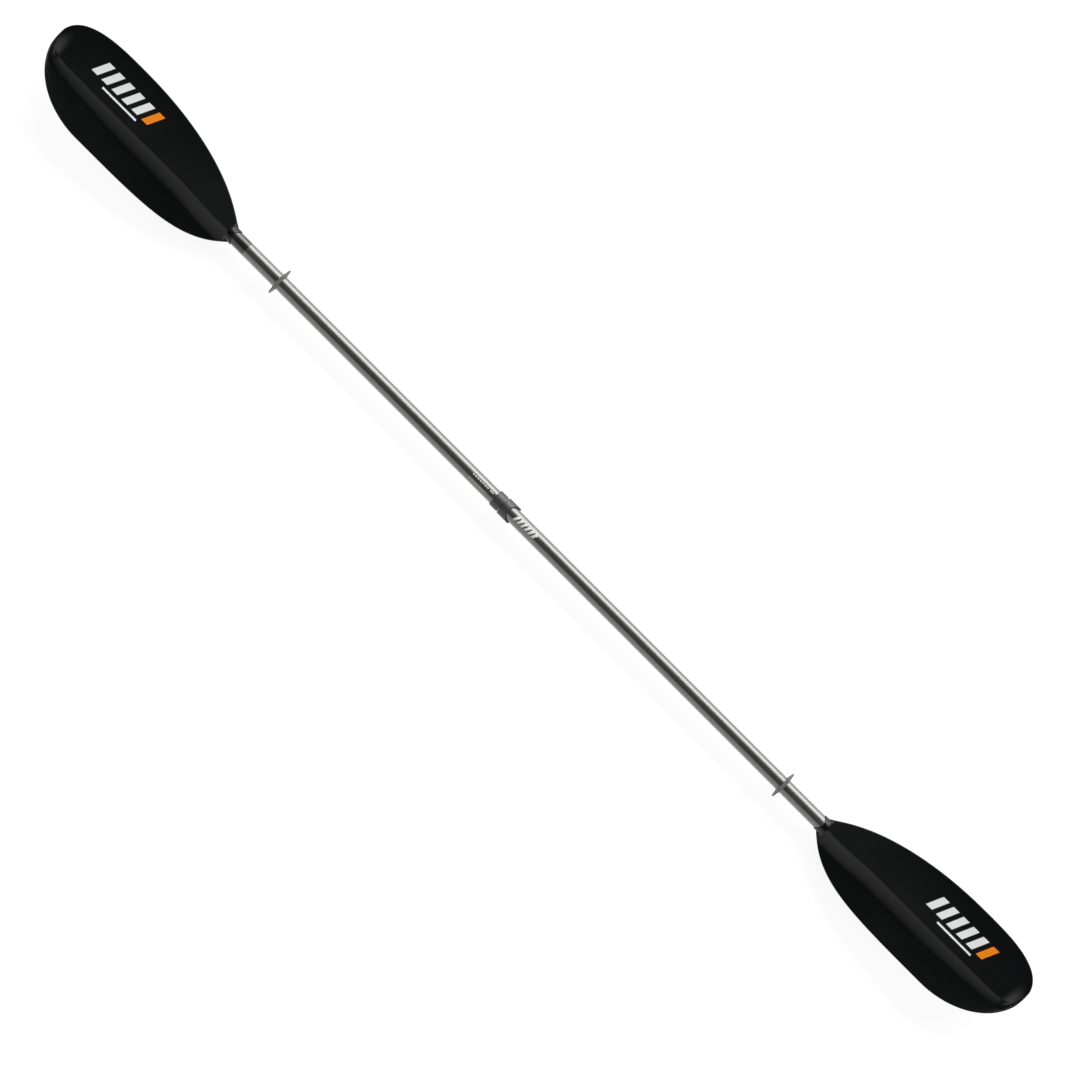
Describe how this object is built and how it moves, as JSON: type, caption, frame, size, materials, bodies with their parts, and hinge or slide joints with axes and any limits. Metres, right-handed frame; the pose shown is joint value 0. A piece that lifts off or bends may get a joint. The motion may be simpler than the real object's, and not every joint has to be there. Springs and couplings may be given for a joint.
{
  "type": "kayak paddle",
  "caption": "Two-piece double-bladed touring kayak paddle with asymmetric dished blades, carbon shaft, feathering push-button ferrule and rubber drip rings.",
  "frame": {"origin": "on the shaft's axis, halfway between the two blade tips, which is within 10 mm of the volume's centroid", "axes": "+X along the shaft to the right blade, +Y to the blades' longer edge, +Z out of the blades' power faces"},
  "size_m": [2.4, 0.1711, 0.0645],
  "materials": {
    "blade": "moulded fibre-filled nylon, satin, black",
    "carbon": "carbon fibre tube under a gloss clear coat",
    "collar": "moulded nylon, satin, dark grey",
    "nylon": "moulded glass-filled nylon, satin, black",
    "rubber": "soft moulded rubber, matte",
    "foam": "closed-cell foam, matte",
    "steel": "stainless spring steel",
    "button": "moulded nylon, satin, dark grey"
  },
  "bodies": {
    "left_half": {"left_shaft": "carbon", "left_blade": "blade", "left_blade_plug": "foam", "left_ferrule_plug": "foam", "tenon": "nylon", "rear_o_ring": "rubber", "front_o_ring": "rubber", "collar_retainer": "steel"},
    "index_dial": {"index_collar": "collar", "detent_ring": "steel"},
    "right_half": {"right_shaft": "carbon", "right_blade": "blade", "right_blade_plug": "foam", "right_ferrule_plug": "foam", "socket_liner": "nylon", "socket_collar": "collar", "nose_ring": "collar", "button_spring": "steel"},
    "push_button": {"lock_button": "button", "latch_plate": "steel"},
    "left_ring": {"left_drip_ring": "rubber"},
    "right_ring": {"right_drip_ring": "rubber"}
  },
  "joints": [
    {"name": "feather", "type": "hinge", "parent": "left_half", "child": "index_dial", "pos_m": [-0.0625, 0, 0], "axis": [1, 0, 0], "range_deg": [-60, 60]},
    {"name": "pull_apart", "type": "slide", "parent": "index_dial", "child": "right_half", "axis": [1, 0, 0], "range_m": [0, 0.12]},
    {"name": "button_press", "type": "slide", "parent": "right_half", "child": "push_button", "axis": [0, 0, 1], "range_m": [0, 0.0016], "stiffness_N_per_m": 3000, "springref_m": -0.0008, "deforming": ["button_spring"]},
    {"name": "left_ring_slide", "type": "slide", "parent": "left_half", "child": "left_ring", "axis": [1, 0, 0], "range_m": [-0.1, 0.2]},
    {"name": "right_ring_slide", "type": "slide", "parent": "right_half", "child": "right_ring", "axis": [1, 0, 0], "range_m": [-0.2, 0.085]}
  ]
}
